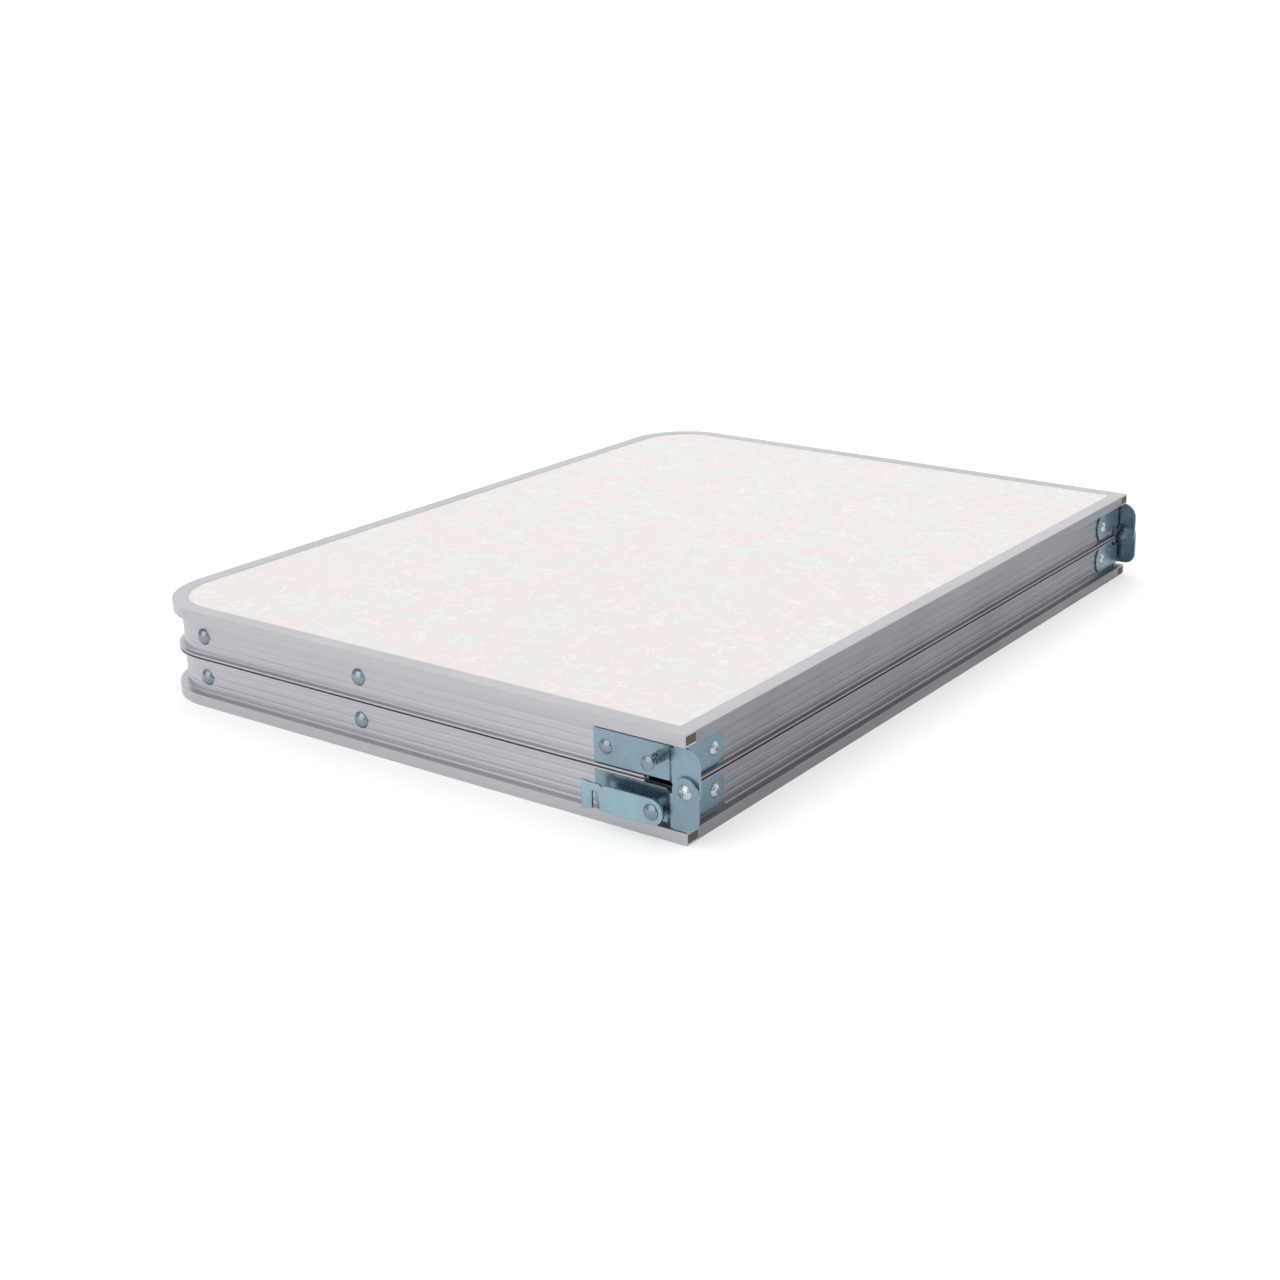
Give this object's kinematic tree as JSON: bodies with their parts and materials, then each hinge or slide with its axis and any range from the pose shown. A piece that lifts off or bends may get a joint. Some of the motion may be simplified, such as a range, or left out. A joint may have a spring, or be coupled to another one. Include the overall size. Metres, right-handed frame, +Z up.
{
  "type": "folding suitcase table",
  "caption": "Closed suitcase folding table: two aluminium-framed laminate half tops hinged at one edge, lock levers, fold-out legs.",
  "frame": {"origin": "centre of the closed table's bounding box, on its flat underside", "axes": "+X towards the hinge edge, +Y along the hinge, +Z up; closed, lying flat"},
  "size_m": [0.47, 0.6224, 0.066],
  "materials": {
    "fibreboard": "raw brown fibreboard edge",
    "laminate": "semi-gloss near-white laminate with a fine crackle",
    "rail_aluminium": "satin anodised extrusion",
    "leg_aluminium": "satin tube",
    "zinc_steel": "blue-bright zinc plating",
    "foot_rubber": "matt black",
    "collar_plastic": "matt black",
    "handle_plastic": "matt black, fine grain"
  },
  "bodies": {
    "lower_half": {"catch_pivots": "zinc_steel", "hinge_nuts": "zinc_steel", "hinge_screws": "zinc_steel", "lock_lever_pivots": "zinc_steel", "lower_board_core": "fibreboard", "lower_corner_angle_far": "zinc_steel", "lower_corner_angle_near": "zinc_steel", "lower_edge_screws": "zinc_steel", "lower_frame_rail": "rail_aluminium", "lower_hinge_leaf_far": "zinc_steel", "lower_hinge_leaf_near": "zinc_steel", "lower_hinge_rail": "rail_aluminium", "lower_laminate": "laminate", "lower_leg_pivot_bolts": "zinc_steel", "lower_leg_pivot_nuts": "zinc_steel", "lower_plate_rivets": "zinc_steel", "lower_stay_pivot_bolts": "zinc_steel"},
    "upper_half": {"catch_studs": "zinc_steel", "handle_brackets": "zinc_steel", "lock_studs": "zinc_steel", "upper_board_core": "fibreboard", "upper_corner_angle_far": "zinc_steel", "upper_corner_angle_near": "zinc_steel", "upper_edge_screws": "zinc_steel", "upper_frame_rail": "rail_aluminium", "upper_hinge_leaf_far": "zinc_steel", "upper_hinge_leaf_near": "zinc_steel", "upper_hinge_rail": "rail_aluminium", "upper_laminate": "laminate", "upper_leg_pivot_bolts": "zinc_steel", "upper_leg_pivot_nuts": "zinc_steel", "upper_plate_rivets": "zinc_steel", "upper_stay_pivot_bolts": "zinc_steel"},
    "lower_legs": {"lower_leg_frame": "leg_aluminium", "lower_leg_collars": "collar_plastic"},
    "lower_foot_leg_near": {"lower_inner_leg_near": "leg_aluminium", "lower_foot_near": "foot_rubber"},
    "lower_rail_link_near": {"lower_rail_link_near": "zinc_steel"},
    "lower_leg_link_near": {"lower_leg_link_near": "zinc_steel"},
    "lower_foot_leg_far": {"lower_inner_leg_far": "leg_aluminium", "lower_foot_far": "foot_rubber"},
    "lower_rail_link_far": {"lower_rail_link_far": "zinc_steel"},
    "lower_leg_link_far": {"lower_leg_link_far": "zinc_steel"},
    "upper_legs": {"upper_leg_frame": "leg_aluminium", "upper_leg_collars": "collar_plastic"},
    "upper_foot_leg_near": {"upper_inner_leg_near": "leg_aluminium", "upper_foot_near": "foot_rubber"},
    "upper_rail_link_near": {"upper_rail_link_near": "zinc_steel"},
    "upper_leg_link_near": {"upper_leg_link_near": "zinc_steel"},
    "upper_foot_leg_far": {"upper_inner_leg_far": "leg_aluminium", "upper_foot_far": "foot_rubber"},
    "upper_rail_link_far": {"upper_rail_link_far": "zinc_steel"},
    "upper_leg_link_far": {"upper_leg_link_far": "zinc_steel"},
    "lock_lever_near": {"lock_lever_near": "zinc_steel"},
    "catch_lever_near": {"catch_lever_near": "zinc_steel"},
    "lock_lever_far": {"lock_lever_far": "zinc_steel"},
    "catch_lever_far": {"catch_lever_far": "zinc_steel"},
    "handle": {"carry_handle": "handle_plastic"}
  },
  "joints": [
    {"name": "main_fold", "type": "hinge", "parent": "lower_half", "child": "upper_half", "pos_m": [0.22635, 0, 0.033], "axis": [0, 1, 0], "range_deg": [0, 180]},
    {"name": "lower_legs_fold", "type": "hinge", "parent": "lower_half", "child": "lower_legs", "pos_m": [-0.16895, 0, 0.0188], "axis": [0, -1, 0], "range_deg": [0, 90]},
    {"name": "lower_rail_link_near_turn", "type": "hinge", "parent": "lower_half", "child": "lower_rail_link_near", "pos_m": [-0.02795, -0.291, 0.0188], "axis": [0, -1, 0], "range_deg": [0, 135]},
    {"name": "lower_leg_link_near_turn", "type": "hinge", "parent": "lower_legs", "child": "lower_leg_link_near", "pos_m": [-0.02795, -0.291, 0.0188], "axis": [0, 1, 0], "range_deg": [0, 135]},
    {"name": "lower_foot_leg_near_slide", "type": "slide", "parent": "lower_legs", "child": "lower_foot_leg_near", "axis": [1, 0, 0], "range_m": [0, 0.15]},
    {"name": "lower_rail_link_far_turn", "type": "hinge", "parent": "lower_half", "child": "lower_rail_link_far", "pos_m": [-0.02795, 0.291, 0.0188], "axis": [0, -1, 0], "range_deg": [0, 135]},
    {"name": "lower_leg_link_far_turn", "type": "hinge", "parent": "lower_legs", "child": "lower_leg_link_far", "pos_m": [-0.02795, 0.291, 0.0188], "axis": [0, 1, 0], "range_deg": [0, 135]},
    {"name": "lower_foot_leg_far_slide", "type": "slide", "parent": "lower_legs", "child": "lower_foot_leg_far", "axis": [1, 0, 0], "range_m": [0, 0.15]},
    {"name": "upper_legs_fold", "type": "hinge", "parent": "upper_half", "child": "upper_legs", "pos_m": [-0.16895, 0, 0.0472], "axis": [0, 1, 0], "range_deg": [0, 90]},
    {"name": "upper_rail_link_near_turn", "type": "hinge", "parent": "upper_half", "child": "upper_rail_link_near", "pos_m": [-0.02795, -0.291, 0.0472], "axis": [0, 1, 0], "range_deg": [0, 135]},
    {"name": "upper_leg_link_near_turn", "type": "hinge", "parent": "upper_legs", "child": "upper_leg_link_near", "pos_m": [-0.02795, -0.291, 0.0472], "axis": [0, -1, 0], "range_deg": [0, 135]},
    {"name": "upper_foot_leg_near_slide", "type": "slide", "parent": "upper_legs", "child": "upper_foot_leg_near", "axis": [1, 0, 0], "range_m": [0, 0.15]},
    {"name": "upper_rail_link_far_turn", "type": "hinge", "parent": "upper_half", "child": "upper_rail_link_far", "pos_m": [-0.02795, 0.291, 0.0472], "axis": [0, 1, 0], "range_deg": [0, 135]},
    {"name": "upper_leg_link_far_turn", "type": "hinge", "parent": "upper_legs", "child": "upper_leg_link_far", "pos_m": [-0.02795, 0.291, 0.0472], "axis": [0, -1, 0], "range_deg": [0, 135]},
    {"name": "upper_foot_leg_far_slide", "type": "slide", "parent": "upper_legs", "child": "upper_foot_leg_far", "axis": [1, 0, 0], "range_m": [0, 0.15]},
    {"name": "lock_lever_near_swing", "type": "hinge", "parent": "lower_half", "child": "lock_lever_near", "pos_m": [0.20605, -0.30545, 0.0182], "axis": [0, -1, 0], "range_deg": [0, 181.16]},
    {"name": "catch_lever_near_swing", "type": "hinge", "parent": "lower_half", "child": "catch_lever_near", "pos_m": [-0.22345, -0.18, 0.017], "axis": [1, 0, 0], "range_deg": [0, 90]},
    {"name": "lock_lever_far_swing", "type": "hinge", "parent": "lower_half", "child": "lock_lever_far", "pos_m": [0.20605, 0.30545, 0.0182], "axis": [0, -1, 0], "range_deg": [0, 181.16]},
    {"name": "catch_lever_far_swing", "type": "hinge", "parent": "lower_half", "child": "catch_lever_far", "pos_m": [-0.22345, 0.18, 0.017], "axis": [-1, 0, 0], "range_deg": [0, 90]},
    {"name": "handle_swing", "type": "hinge", "parent": "upper_half", "child": "handle", "pos_m": [-0.23045, 0, 0.05], "axis": [0, 1, 0], "range_deg": [0, 90]}
  ],
  "couplings": [
    {"joint": "lower_legs_fold", "follows": "main_fold", "ratio": 0.5},
    {"joint": "lower_rail_link_near_turn", "follows": "main_fold", "ratio": 0.75},
    {"joint": "lower_leg_link_near_turn", "follows": "main_fold", "ratio": 0.75},
    {"joint": "lower_rail_link_far_turn", "follows": "main_fold", "ratio": 0.75},
    {"joint": "lower_leg_link_far_turn", "follows": "main_fold", "ratio": 0.75},
    {"joint": "upper_legs_fold", "follows": "main_fold", "ratio": 0.5},
    {"joint": "upper_rail_link_near_turn", "follows": "main_fold", "ratio": 0.75},
    {"joint": "upper_leg_link_near_turn", "follows": "main_fold", "ratio": 0.75},
    {"joint": "upper_rail_link_far_turn", "follows": "main_fold", "ratio": 0.75},
    {"joint": "upper_leg_link_far_turn", "follows": "main_fold", "ratio": 0.75}
  ]
}
